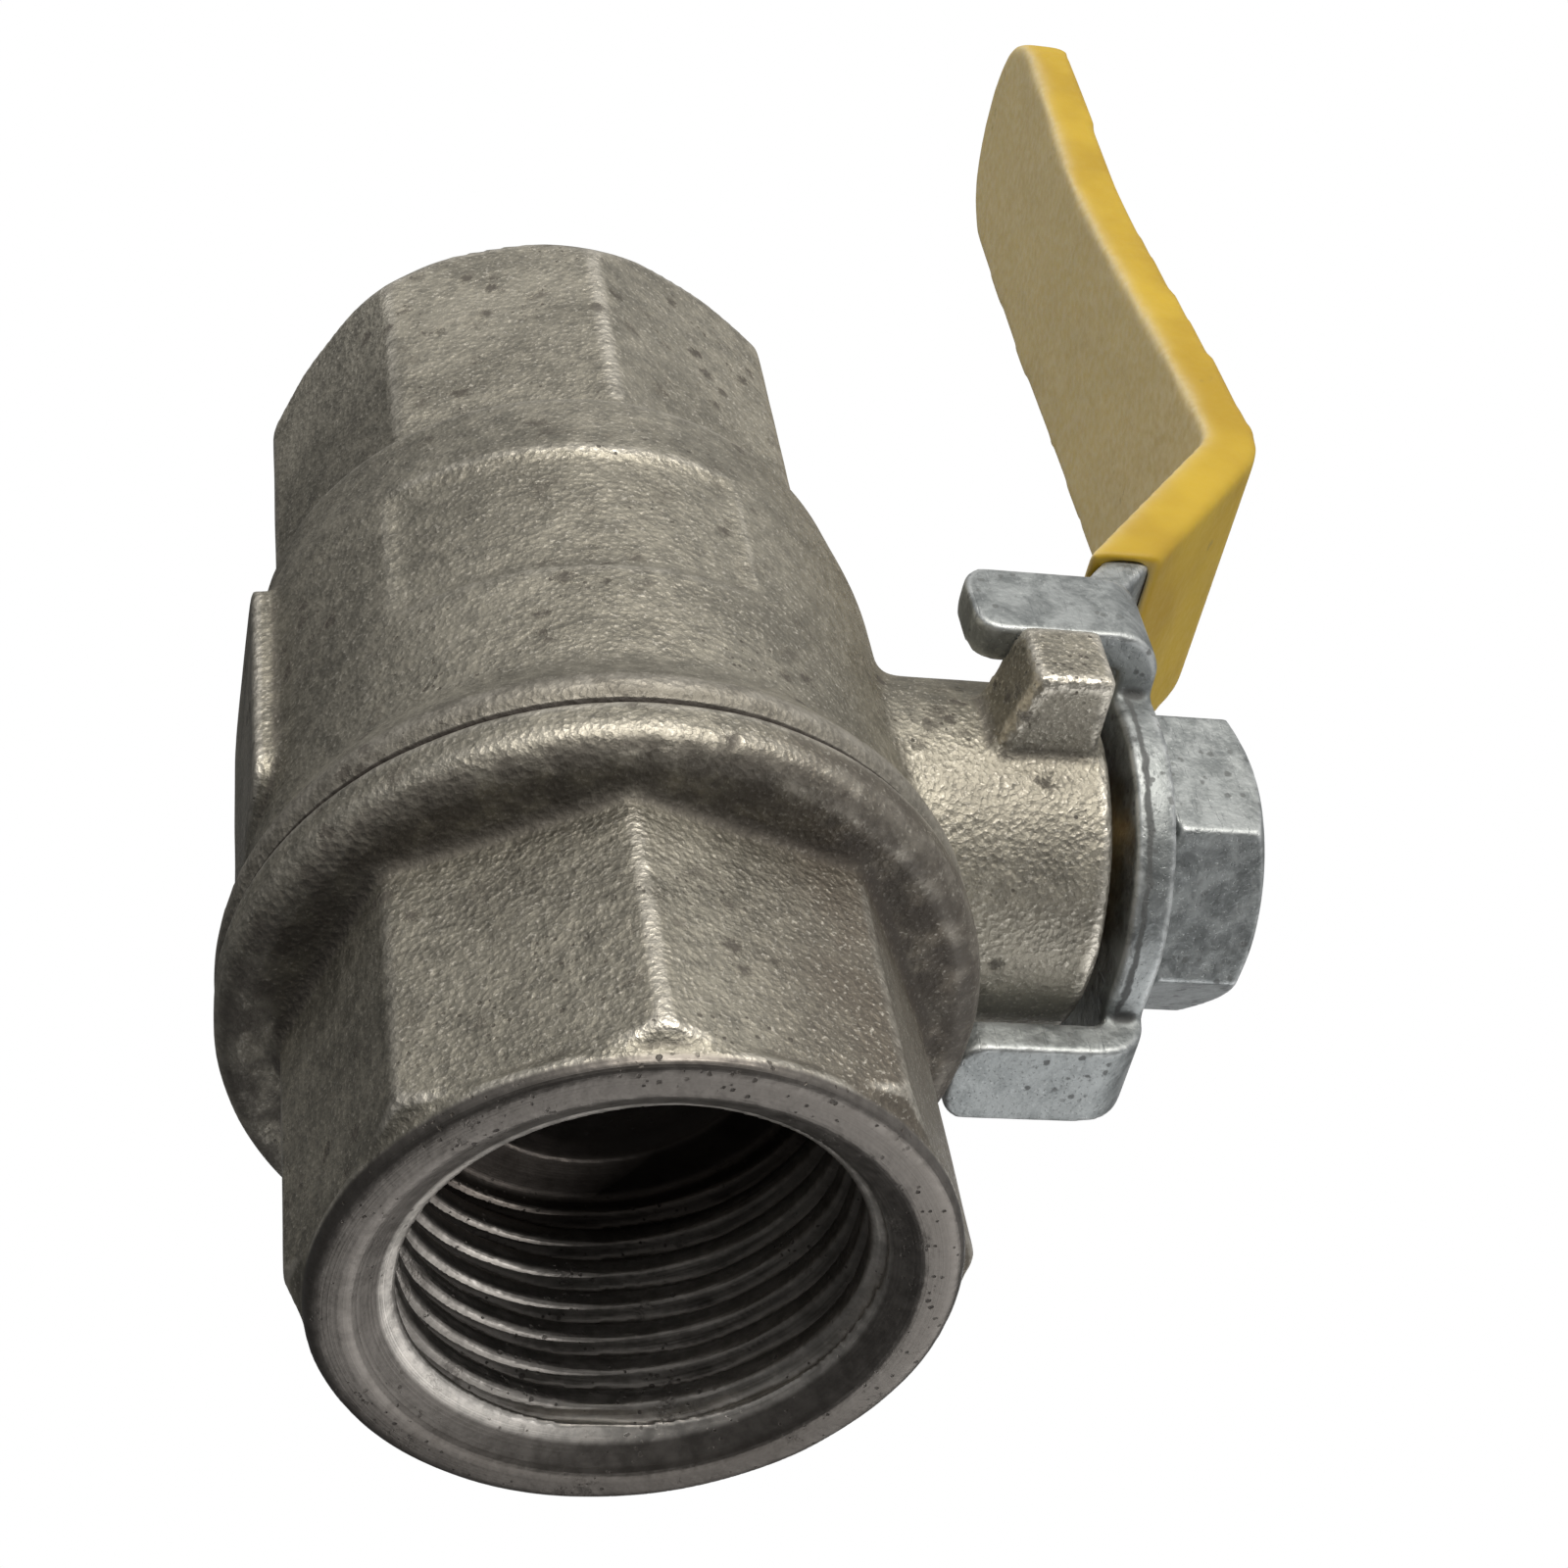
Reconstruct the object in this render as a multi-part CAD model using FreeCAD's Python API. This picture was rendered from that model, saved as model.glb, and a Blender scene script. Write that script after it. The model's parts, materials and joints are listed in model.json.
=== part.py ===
import FreeCAD, Part
import math
import os

# Two-piece lever ball valve with female G1/2 ends, shown open. All sizes in millimetres.
# The origin is on the flow axis, where the inlet thread starts. Flow runs along +Y, the stem
# points up along +Z, and the lever lies along the flow when the valve is open. Distances along
# the flow are measured from the inlet mouth, and main() moves the parts to the origin.

# Driving dimensions: pipe threads, G1/2
THREAD_MINOR_R = 9.586
THREAD_MAJOR_R = 10.4775
THREAD_ROOT_HALF = 0.02
THREAD_PITCH = 1.814
THREAD_DEPTH = 14.0
THREAD_FLANK_DEG = 27.5
THREAD_OVERLAP = 0.25
MOUTH_R = 11.5
MOUTH_DEPTH = 1.3

# Driving dimensions: shell
LENGTH = 59.5
STEM_Y = 28.1
OCTAGON_SIDES = 8
FLAT_WIDTH = 26.0
CORNER_ROUND = 0.9
CAP_TURN_DEG = -4.6
BODY_TURN_DEG = 4.8
COLLAR_R = 13.3
COLLAR_END_Y = 1.0
COLLAR_ROUND = 0.6
COLLAR_SLOPE = 0.8
BODY_FACE_R = 12.9
JOINT_Y = 17.4
JOINT_GROOVE = 0.45
FLANGE_R = 16.75
FLANGE_FRONT_Y = 14.5
FLANGE_ROUND = 1.5
FLANGE_ROOT_ROUND = 0.6
RIM_END_Y = 19.1
BARREL_R = 15.35
BARREL_START_Y = 21.6
BARREL_END_Y = 37.6
SHOULDER_R = 14.5
SHOULDER_END_Y = 43.1
CREST_DROP = 0.2
CREST_ROUND = 0.4
BARREL_ROOT_ROUND = 2.5
BARREL_END_ROUND = 5.0
SHOULDER_ROUND = 0.9
BODY_FACE_SLOPE_DEG = 60.0
BARREL_SEAM_DEG = 20.0

# Driving dimensions: ball, seats and the passage between them
PASSAGE_R = 7.0
BALL_R = 11.5
BALL_SLOT_WIDTH = 4.0
BALL_SLOT_FLOOR = 8.3
SEAT_OUTER_R = 10.9
SEAT_INNER_R = 7.2
SEAT_BACK = 10.3
SEAT_FRONT = 6.4
SEAT_CLEARANCE = 0.03
CHAMBER_R = 12.3
CHAMBER_STEP = 0.4
BALL_GAP = 0.6
TAIL_R = 13.2
TAIL_END_Y = 21.5
SEAL_THICKNESS = 0.8
SEAL_INNER_R = 12.4
FIT = 0.05

# Driving dimensions: neck and stem seal
NECK_R = 8.33
NECK_TOP_Z = 23.5
NECK_FILLET = 1.0
NECK_EDGE = 0.4
LUG_REACH = 12.4
LUG_HALF_WIDTH = 2.1
LUG_TOP_Z = 22.8
LUG_FOOT_Z = 17.9
LUG_TIP_Z = 19.0
LUG_EDGE = 0.25
STEM_R = 4.0
STEM_SHOULDER_R = 5.5
STEM_SHOULDER_FLOOR_Z = 12.0
STEM_SHOULDER_TOP_Z = 13.4
WASHER_THICKNESS = 0.8
STUFFING_FLOOR_Z = 16.6
STUFFING_R = 6.4
PACKING_THICKNESS = 1.7
PACKING_RINGS = 2
PACKING_FIT = 0.02
GLAND_TOP_Z = 23.3
GLAND_SLOT_WIDTH = 2.0
GLAND_SLOT_DEPTH = 1.2
STEM_FLATS = 6.0
STEM_TOP_Z = 32.4
STEM_THREAD_PITCH = 1.25
STEM_THREAD_DEPTH = 0.6
STEM_THREAD_RIDGES = 4
TANG_WIDTH = 3.9
TANG_LENGTH = 8.8
TANG_END_Z = 8.5

# Driving dimensions: lever, sleeve and nut
PLATE_FLOOR_Z = 24.35
PLATE_THICKNESS = 2.0
HUB_R = 8.8
STRIP_HALF_WIDTH = 7.5
WAIST_HALF_WIDTH = 6.2
TIP_HALF_WIDTH = 6.7
TIP_Y = 77.5
TIP_ROUND = 5.8
RISE_START_Y = 11.2
RISE_END_Y = 26.2
RISE_TOP_Z = 36.0
WAIST_Y = 56.0
WAIST_Z = 35.0
TIP_Z = 35.7
BEND_RADIUS = 3.0
TAB_SIDE_REACH = 12.0
TAB_REAR_REACH = 11.0
TAB_NEAR = 2.15
TAB_WIDTH = 4.8
TAB_END_Z = 17.0
TAB_BEND_RADIUS = 2.5
TAB_CORNER = 1.3
SLEEVE_WALL = 0.55
SLEEVE_START_Y = 14.4
NUT_SIDES = 6
NUT_FLATS = 13.0
NUT_HEIGHT = 5.2
NUT_CHAMFER_R = 6.3
NUT_CHAMFER_DEG = 30.0
NUT_TURN_DEG = 36.0

# Driving dimensions: blank pad under the barrel, and shallow blank panel in its side
FOOT_Z = -15.5
FOOT_HALF_X = 5.5
FOOT_START_Y = 24.5
FOOT_END_Y = 38.9
FOOT_ROUND = 1.6
PANEL_DEPTH = 0.25
PANEL_START_Y = 28.4
PANEL_END_Y = 37.2
PANEL_FROM_DEG = -40.0
PANEL_TO_DEG = 22.0

X = FreeCAD.Vector(1, 0, 0)
Y = FreeCAD.Vector(0, 1, 0)
Z = FreeCAD.Vector(0, 0, 1)
MARGIN = 5.0
OVERLAP = 1.0
LID_Z = 60.0
PARALLEL = 0.999


def vec(x, y, z):
    return FreeCAD.Vector(x, y, z)


def closed_face(points):
    """Flat face inside a closed outline of straight lines."""
    return Part.Face(Part.makePolygon(points + [points[0]]))


def turned_y(profile):
    """Solid turned about the flow axis from (radius, y) corners."""
    face = closed_face([vec(r, y, 0) for r, y in profile])
    return face.revolve(vec(0, 0, 0), Y, 360)


def turned_z(profile):
    """Solid turned about the stem axis from (radius, z) corners."""
    face = closed_face([vec(r, 0, z) for r, z in profile])
    solid = face.revolve(vec(0, 0, 0), Z, 360)
    solid.translate(vec(0, STEM_Y, 0))
    return solid


def rod_y(radius, start, end):
    return Part.makeCylinder(radius, end - start, vec(0, start, 0), Y)


def rod_z(radius, floor, top):
    return Part.makeCylinder(radius, top - floor, vec(0, STEM_Y, floor), Z)


def tube_z(inner, outer, floor, top):
    return rod_z(outer, floor, top).cut(rod_z(inner, floor - MARGIN, top + MARGIN))


def box(x0, x1, y0, y1, z0, z1):
    return Part.makeBox(x1 - x0, y1 - y0, z1 - z0, vec(x0, y0, z0))


def rounded(solid, radius, wanted):
    """Fillet the edges that the test picks out."""
    edges = [edge for edge in solid.Edges if wanted(edge)]
    return solid.makeFillet(radius, edges)


def prism_y(start, end, turn_deg):
    """Octagon along the flow with rounded corners, one corner towards -X before the turn."""
    radius = FLAT_WIDTH / 2 / math.cos(math.pi / OCTAGON_SIDES)
    points = []
    for i in range(OCTAGON_SIDES):
        angle = math.radians(turn_deg + 360.0 * i / OCTAGON_SIDES)
        points.append(vec(-radius * math.cos(angle), start, radius * math.sin(angle)))
    prism = closed_face(points).extrude(vec(0, end - start, 0))
    return rounded(prism, CORNER_ROUND, lambda edge: along(edge, Y))


def along(edge, axis):
    """True for a straight edge that runs along the axis."""
    if edge.Curve.TypeId != "Part::GeomLine":
        return False
    return abs(edge.Curve.Direction.dot(axis)) > PARALLEL


def pipe_thread(mouth_y, inward):
    """Cutter of a G1/2 thread that starts outside its mouth and runs inward (+1 or -1 along Y)."""
    inner = THREAD_MINOR_R - THREAD_OVERLAP
    flank = math.tan(math.radians(THREAD_FLANK_DEG))
    half = THREAD_ROOT_HALF + (THREAD_MAJOR_R - inner) * flank
    section = Part.makePolygon([
        vec(inner, 0, -half),
        vec(THREAD_MAJOR_R, 0, -THREAD_ROOT_HALF),
        vec(THREAD_MAJOR_R, 0, THREAD_ROOT_HALF),
        vec(inner, 0, half),
        vec(inner, 0, -half),
    ])
    helix = Part.makeHelix(THREAD_PITCH, THREAD_DEPTH + THREAD_PITCH / 2, THREAD_MINOR_R)
    ridge = Part.Wire(helix).makePipeShell([section], True, True)
    ridge.translate(vec(0, 0, -THREAD_PITCH))
    ridge.rotate(vec(0, 0, 0), X, -90 * inward)
    ridge.translate(vec(0, mouth_y, 0))
    return ridge


def pipe_mouth(mouth_y, inward):
    """Thread core, lead-in cone and helical groove of one port, as one list of cutters."""
    end = mouth_y + inward * THREAD_DEPTH
    cone_end = mouth_y + inward * MOUTH_DEPTH
    out = mouth_y - inward * MARGIN
    core = turned_y([(0, out), (THREAD_MINOR_R, out), (THREAD_MINOR_R, end), (0, end)])
    spread = MOUTH_R + (MOUTH_R - THREAD_MINOR_R) * MARGIN / MOUTH_DEPTH
    cone = turned_y([(0, out), (spread, out), (THREAD_MINOR_R, cone_end), (0, cone_end)])
    return [core, cone, pipe_thread(mouth_y, inward)]


def end_cap():
    """Screwed-in inlet half: octagon, flange and the tail that holds the inlet seat."""
    octagon = prism_y(COLLAR_END_Y - FIT, JOINT_Y - OVERLAP, CAP_TURN_DEG)
    wide = COLLAR_R + MARGIN
    limit = turned_y([(0, 0), (COLLAR_R, 0), (COLLAR_R, COLLAR_END_Y),
                      (wide, COLLAR_END_Y + COLLAR_SLOPE * MARGIN), (wide, JOINT_Y),
                      (0, JOINT_Y)])
    collar = rod_y(COLLAR_R, 0, COLLAR_END_Y)
    collar = rounded(collar, COLLAR_ROUND, lambda edge: is_ring(edge, COLLAR_R, 0))
    flange = rod_y(FLANGE_R, FLANGE_FRONT_Y, JOINT_Y)
    flange = rounded(flange, FLANGE_ROUND, lambda edge: is_ring(edge, FLANGE_R, FLANGE_FRONT_Y))
    flange = rounded(flange, JOINT_GROOVE, lambda edge: is_ring(edge, FLANGE_R, JOINT_Y))
    shell = octagon.common(limit).fuse(flange).removeSplitter()
    shell = rounded(shell, FLANGE_ROOT_ROUND, is_flange_root).fuse(collar)
    shell = shell.fuse(rod_y(TAIL_R - FIT, JOINT_Y - OVERLAP, TAIL_END_Y))
    for cutter in pipe_mouth(0, 1):
        shell = shell.cut(cutter)
    shell = shell.cut(rod_y(PASSAGE_R + FIT, 0, LENGTH))
    pocket_floor = STEM_Y - SEAT_BACK
    shell = shell.cut(rod_y(SEAT_OUTER_R + FIT, pocket_floor, LENGTH))
    return shell.cut(Part.makeSphere(BALL_R + BALL_GAP, vec(0, STEM_Y, 0)))


def is_flange_root(edge):
    """True for the edges where the octagon's flats meet the front of the flange."""
    inside = edge.BoundBox.YMax < FLANGE_FRONT_Y + FIT and edge.BoundBox.YMin > FLANGE_FRONT_Y - FIT
    middle = edge.valueAt((edge.FirstParameter + edge.LastParameter) / 2)
    return inside and math.hypot(middle.x, middle.z) < FLANGE_R - FLANGE_ROUND


def barrel():
    """Turned outside of the ball chamber with its rim, shoulder and joint edge."""
    crest = RIM_END_Y - CREST_DROP
    profile = [
        (0, JOINT_Y + FIT),
        (FLANGE_R - JOINT_GROOVE, JOINT_Y + FIT),
        (FLANGE_R, JOINT_Y + 2 * JOINT_GROOVE),
        (FLANGE_R, crest),
        (BARREL_R, BARREL_START_Y),
        (BARREL_R, BARREL_END_Y),
        (SHOULDER_R, SHOULDER_END_Y),
        (0, SHOULDER_END_Y),
    ]
    solid = turned_y(profile)
    solid.rotate(vec(0, 0, 0), Y, BARREL_SEAM_DEG)
    solid = rounded(solid, CREST_ROUND, lambda edge: is_ring(edge, FLANGE_R, crest))
    solid = rounded(solid, BARREL_ROOT_ROUND, lambda edge: is_ring(edge, BARREL_R, BARREL_START_Y))
    solid = rounded(solid, BARREL_END_ROUND, lambda edge: is_ring(edge, BARREL_R, BARREL_END_Y))
    return rounded(solid, SHOULDER_ROUND, lambda edge: is_ring(edge, SHOULDER_R, SHOULDER_END_Y))


def is_ring(edge, radius, y):
    """True for a full circle about the flow axis with this radius and place."""
    if edge.Curve.TypeId != "Part::GeomCircle":
        return False
    return abs(edge.Curve.Radius - radius) < FIT / 2 and abs(edge.Curve.Center.y - y) < FIT / 2


def neck():
    """Neck with a filleted root on a plain length of the barrel."""
    root = rod_y(BARREL_R, JOINT_Y + 2 * JOINT_GROOVE, BARREL_END_Y)
    solid = root.fuse(rod_z(NECK_R, 0, NECK_TOP_Z)).removeSplitter()
    solid = rounded(solid, NECK_FILLET, is_neck_root)
    return rounded(solid, NECK_EDGE, lambda edge: edge.BoundBox.ZMin > NECK_TOP_Z - FIT)


def lug():
    """Stop lug on the neck, with an underside that rises outwards."""
    buried = -NECK_R + LUG_HALF_WIDTH
    outline = [
        vec(buried, 0, LUG_FOOT_Z),
        vec(-NECK_R, 0, LUG_FOOT_Z),
        vec(-LUG_REACH, 0, LUG_TIP_Z),
        vec(-LUG_REACH, 0, LUG_TOP_Z),
        vec(buried, 0, LUG_TOP_Z),
    ]
    solid = closed_face(outline).extrude(vec(0, 2 * LUG_HALF_WIDTH, 0))
    solid.translate(vec(0, STEM_Y - LUG_HALF_WIDTH, 0))
    return rounded(solid, LUG_EDGE, lambda edge: edge.BoundBox.XMax < -NECK_R - OVERLAP)


def foot():
    """Flat blank pad under the barrel."""
    solid = box(-FOOT_HALF_X, FOOT_HALF_X, FOOT_START_Y, FOOT_END_Y, FOOT_Z, 0)
    return rounded(solid, FOOT_ROUND, lambda edge: along(edge, Z))


def panel():
    """Cutter of the shallow panel, between two angles counted from -X towards +Z."""
    floor = BARREL_R - PANEL_DEPTH
    top = BARREL_R + MARGIN
    corners = [vec(floor, PANEL_START_Y, 0), vec(top, PANEL_START_Y, 0),
               vec(top, PANEL_END_Y, 0), vec(floor, PANEL_END_Y, 0)]
    face = closed_face(corners)
    face.rotate(vec(0, 0, 0), Y, 180 + PANEL_FROM_DEG)
    return face.revolve(vec(0, 0, 0), Y, PANEL_TO_DEG - PANEL_FROM_DEG)


def valve_body():
    """Outlet half: barrel, octagon, neck and lug around the ball chamber."""
    start = SHOULDER_END_Y - SHOULDER_ROUND - OVERLAP
    octagon = prism_y(start, LENGTH, BODY_TURN_DEG)
    slope = math.tan(math.radians(BODY_FACE_SLOPE_DEG))
    wide = BODY_FACE_R + MARGIN
    limit = turned_y([(0, LENGTH), (BODY_FACE_R, LENGTH), (wide, LENGTH - slope * MARGIN),
                      (wide, 0), (0, 0)])
    shell = barrel().fuse(neck()).fuse(lug()).fuse(foot()).fuse(octagon.common(limit))
    for cutter in pipe_mouth(LENGTH, -1) + body_hollows() + [panel()]:
        shell = shell.cut(cutter)
    return shell.removeSplitter()


def is_neck_root(edge):
    """True for the curve where the neck leaves the barrel."""
    bounds = edge.BoundBox
    near = abs(bounds.XMax - NECK_R) < FIT or abs(bounds.XMin + NECK_R) < FIT
    return near and bounds.ZMax < BARREL_R + FIT and bounds.ZMin > BARREL_R / 2


def body_hollows():
    """Cutters of the body's inside: tail bore, chamber, seat pocket, passage and stem bores."""
    seat_floor = STEM_Y + SEAT_BACK
    return [
        rod_y(TAIL_R, 0, TAIL_END_Y + SEAL_THICKNESS),
        rod_y(CHAMBER_R, 0, STEM_Y + SEAT_FRONT - CHAMBER_STEP),
        rod_y(SEAT_OUTER_R + FIT, 0, seat_floor),
        rod_y(PASSAGE_R + FIT, 0, LENGTH),
        Part.makeSphere(BALL_R + BALL_GAP, vec(0, STEM_Y, 0)),
        rod_z(STEM_R + FIT, 0, NECK_TOP_Z + MARGIN),
        rod_z(STEM_SHOULDER_R + FIT, 0, STEM_SHOULDER_TOP_Z + WASHER_THICKNESS),
        rod_z(STUFFING_R, STUFFING_FLOOR_Z, NECK_TOP_Z + MARGIN),
    ]


def ball():
    """Ball with its passage and the slot that the stem turns."""
    solid = Part.makeSphere(BALL_R, vec(0, STEM_Y, 0))
    solid = solid.cut(rod_y(PASSAGE_R, STEM_Y - 2 * BALL_R, STEM_Y + 2 * BALL_R))
    half = BALL_SLOT_WIDTH / 2
    slot = box(-BALL_R, BALL_R, STEM_Y - half, STEM_Y + half, BALL_SLOT_FLOOR, BALL_R + MARGIN)
    return solid.cut(slot)


def seat(side):
    """Seat ring on one side of the ball: -1 towards the inlet, +1 towards the outlet."""
    back = STEM_Y + side * SEAT_BACK
    front = STEM_Y + side * SEAT_FRONT
    low = min(back, front)
    high = max(back, front)
    ring = rod_y(SEAT_OUTER_R, low, high).cut(rod_y(SEAT_INNER_R, 0, LENGTH))
    return ring.cut(Part.makeSphere(BALL_R + SEAT_CLEARANCE, vec(0, STEM_Y, 0)))


def joint_seal():
    """Flat ring between the tail of the cap and the step in the body."""
    ring = rod_y(TAIL_R - FIT, TAIL_END_Y, TAIL_END_Y + SEAL_THICKNESS)
    return ring.cut(rod_y(SEAL_INNER_R, 0, LENGTH))


def stem():
    """Stem: tang in the ball, blow-out shoulder, shaft, flats for the lever and threaded top."""
    tang = box(-TANG_LENGTH / 2, TANG_LENGTH / 2, STEM_Y - TANG_WIDTH / 2,
               STEM_Y + TANG_WIDTH / 2, TANG_END_Z, STEM_SHOULDER_FLOOR_Z)
    top = [(0, STEM_SHOULDER_FLOOR_Z), (STEM_SHOULDER_R, STEM_SHOULDER_FLOOR_Z),
           (STEM_SHOULDER_R, STEM_SHOULDER_TOP_Z), (STEM_R, STEM_SHOULDER_TOP_Z)]
    ridge_top = STEM_TOP_Z - STEM_THREAD_DEPTH
    thread_floor = ridge_top - STEM_THREAD_RIDGES * STEM_THREAD_PITCH
    for i in range(STEM_THREAD_RIDGES):
        z = thread_floor + i * STEM_THREAD_PITCH
        top.append((STEM_R, z))
        top.append((STEM_R - STEM_THREAD_DEPTH, z + STEM_THREAD_PITCH / 2))
    top += [(STEM_R, ridge_top), (STEM_R - STEM_THREAD_DEPTH, STEM_TOP_Z), (0, STEM_TOP_Z)]
    shaft = turned_z(top)
    flats_top = STEM_TOP_Z + MARGIN
    half = STEM_FLATS / 2
    for side in (-1, 1):
        inner = side * half
        outer = side * (STEM_R + MARGIN)
        shaft = shaft.cut(box(min(inner, outer), max(inner, outer), STEM_Y - MARGIN,
                              STEM_Y + MARGIN, PLATE_FLOOR_Z, flats_top))
    return shaft.fuse(tang).removeSplitter()


def thrust_washer():
    floor = STEM_SHOULDER_TOP_Z
    return tube_z(STEM_R + FIT, STEM_SHOULDER_R, floor, floor + WASHER_THICKNESS)


def packing_ring(index):
    floor = STUFFING_FLOOR_Z + index * PACKING_THICKNESS
    return tube_z(STEM_R + PACKING_FIT, STUFFING_R, floor, floor + PACKING_THICKNESS)


def packing_gland():
    """Threaded gland that presses the packing rings, slotted on top and sunk in the neck."""
    floor = STUFFING_FLOOR_Z + PACKING_RINGS * PACKING_THICKNESS
    ring = tube_z(STEM_R + FIT, STUFFING_R, floor, GLAND_TOP_Z)
    half = GLAND_SLOT_WIDTH / 2
    slot = box(-STUFFING_R - MARGIN, STUFFING_R + MARGIN, STEM_Y - half, STEM_Y + half,
               GLAND_TOP_Z - GLAND_SLOT_DEPTH, GLAND_TOP_Z + MARGIN)
    return ring.cut(slot)


def bent_band(line, thickness):
    """Side face (y, z) of a strip that follows a line of its lower side."""
    upper = []
    for i in range(len(line)):
        before = line[max(i - 1, 0)]
        here = line[i]
        after = line[min(i + 1, len(line) - 1)]
        if i == 0:
            before = (2 * here[0] - after[0], 2 * here[1] - after[1])
        if i == len(line) - 1:
            after = (2 * here[0] - before[0], 2 * here[1] - before[1])
        a = math.atan2(here[1] - before[1], here[0] - before[0])
        b = math.atan2(after[1] - here[1], after[0] - here[0])
        middle = (a + b) / 2
        reach = thickness / math.cos((b - a) / 2)
        upper.append((here[0] - reach * math.sin(middle), here[1] + reach * math.cos(middle)))
    points = [vec(0, y, z) for y, z in line + upper[::-1]]
    return closed_face(points)


def lever_line(drop):
    """Lower side of the handle, from the hub to the tip, pushed down by drop."""
    return [
        (STEM_Y - TAB_REAR_REACH - MARGIN, PLATE_FLOOR_Z - drop),
        (STEM_Y + RISE_START_Y + drop / 2, PLATE_FLOOR_Z - drop),
        (STEM_Y + RISE_END_Y + drop / 2, RISE_TOP_Z - drop),
        (STEM_Y + WAIST_Y, WAIST_Z - drop),
        (STEM_Y + TIP_Y + MARGIN, TIP_Z - drop),
    ]


def lever_band(extra):
    """Strip along the handle, wider than it, thicker by extra on both sides, bends rounded."""
    thickness = PLATE_THICKNESS + 2 * extra
    face = bent_band(lever_line(extra), thickness)
    wide = 2 * (TAB_SIDE_REACH + MARGIN)
    solid = face.extrude(vec(wide, 0, 0))
    solid.translate(vec(-wide / 2, 0, 0))
    solid = rounded(solid, BEND_RADIUS + thickness, lambda edge: is_bend(edge, True))
    return rounded(solid, BEND_RADIUS - extra, lambda edge: is_bend(edge, False))


def is_bend(edge, outer):
    """True for a bend edge of the rising part, on its outer or its inner side."""
    if not along(edge, X):
        return False
    y = edge.BoundBox.YMin - STEM_Y
    z = edge.BoundBox.ZMin
    lower_bend = abs(y - RISE_START_Y) < BEND_RADIUS
    upper_bend = abs(y - RISE_END_Y) < BEND_RADIUS
    if lower_bend:
        is_upper_side = z > PLATE_FLOOR_Z + PLATE_THICKNESS / 2
        return is_upper_side != outer
    if upper_bend:
        is_upper_side = z > RISE_TOP_Z + PLATE_THICKNESS / 2
        return is_upper_side == outer
    return False


def handle_outline(start_y, extra, end_y):
    """Plan outline of the handle: straight over the rise, waisted, with a rounded tip."""
    strip = STRIP_HALF_WIDTH + extra
    waist = WAIST_HALF_WIDTH + extra
    tip = TIP_HALF_WIDTH + extra
    corner = TIP_ROUND + extra
    y0 = STEM_Y + start_y
    y1 = STEM_Y + RISE_END_Y
    y2 = STEM_Y + WAIST_Y
    y3 = STEM_Y + end_y - corner
    y4 = STEM_Y + end_y

    def side(sign):
        curve = Part.BSplineCurve()
        middle = STEM_Y + (RISE_END_Y + WAIST_Y) / 2
        points = [vec(sign * strip, y1, 0), vec(sign * (strip + waist) / 2, middle, 0),
                  vec(sign * waist, y2, 0), vec(sign * tip, y3, 0)]
        curve.interpolate(points, InitialTangent=Y, FinalTangent=Y)
        straight = Part.makeLine(vec(sign * strip, y0, 0), vec(sign * strip, y1, 0))
        turn = corner * (1 - math.cos(math.pi / 4))
        arc = Part.Arc(vec(sign * tip, y3, 0), vec(sign * (tip - turn), y4 - turn, 0),
                       vec(sign * (tip - corner), y4, 0))
        return [straight, curve.toShape(), arc.toShape()]

    left = side(-1)
    right = side(1)
    cap = Part.makeLine(vec(-(tip - corner), y4, 0), vec(tip - corner, y4, 0))
    base = Part.makeLine(vec(-strip, y0, 0), vec(strip, y0, 0))
    edges = Part.sortEdges(left + right + [cap, base])[0]
    face = Part.Face(Part.Wire(edges))
    return face.extrude(vec(0, 0, LID_Z))


def tab(reach):
    """Stop tab bent down at -Y, with its near side at TAB_NEAR and rounded lower corners."""
    top = PLATE_FLOOR_Z + PLATE_THICKNESS
    root = HUB_R / 2
    outline = [
        vec(0, -root, top),
        vec(0, -reach, top),
        vec(0, -reach, TAB_END_Z),
        vec(0, -reach + PLATE_THICKNESS, TAB_END_Z),
        vec(0, -reach + PLATE_THICKNESS, PLATE_FLOOR_Z),
        vec(0, -root, PLATE_FLOOR_Z),
    ]
    solid = closed_face(outline).extrude(vec(TAB_WIDTH, 0, 0))
    solid.translate(vec(TAB_NEAR, 0, 0))
    solid = rounded(solid, TAB_BEND_RADIUS, lambda edge: is_tab_bend(edge, -reach, top))
    inner = -reach + PLATE_THICKNESS
    solid = rounded(solid, TAB_BEND_RADIUS - PLATE_THICKNESS,
                    lambda edge: is_tab_bend(edge, inner, PLATE_FLOOR_Z))
    return rounded(solid, TAB_CORNER,
                   lambda edge: along(edge, Y) and edge.BoundBox.ZMax < TAB_END_Z + FIT)


def is_tab_bend(edge, y, z):
    """True for the edge along X at this place."""
    return along(edge, X) and abs(edge.BoundBox.YMin - y) < FIT and abs(edge.BoundBox.ZMin - z) < FIT


def tabs():
    """Rear tab at -Y, and the side tab at -X that is its mirror image."""
    rear = tab(TAB_REAR_REACH)
    side = tab(TAB_SIDE_REACH).mirror(vec(0, 0, 0), vec(1, -1, 0))
    for solid in (rear, side):
        solid.translate(vec(0, STEM_Y, 0))
    return [rear, side]


def lever():
    """Bent steel lever: hub plate with the two stop tabs, rise and handle strip."""
    plan = handle_outline(0, 0, TIP_Y).fuse(rod_z(HUB_R, 0, LID_Z))
    plate = lever_band(0).common(plan)
    for solid in tabs():
        plate = plate.fuse(solid)
    hole = rod_z(STEM_R + FIT, 0, LID_Z)
    flat = STEM_FLATS / 2 + FIT
    hole = hole.common(box(-flat, flat, 0, 2 * STEM_Y, 0, LID_Z))
    return plate.cut(hole).removeSplitter()


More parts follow.
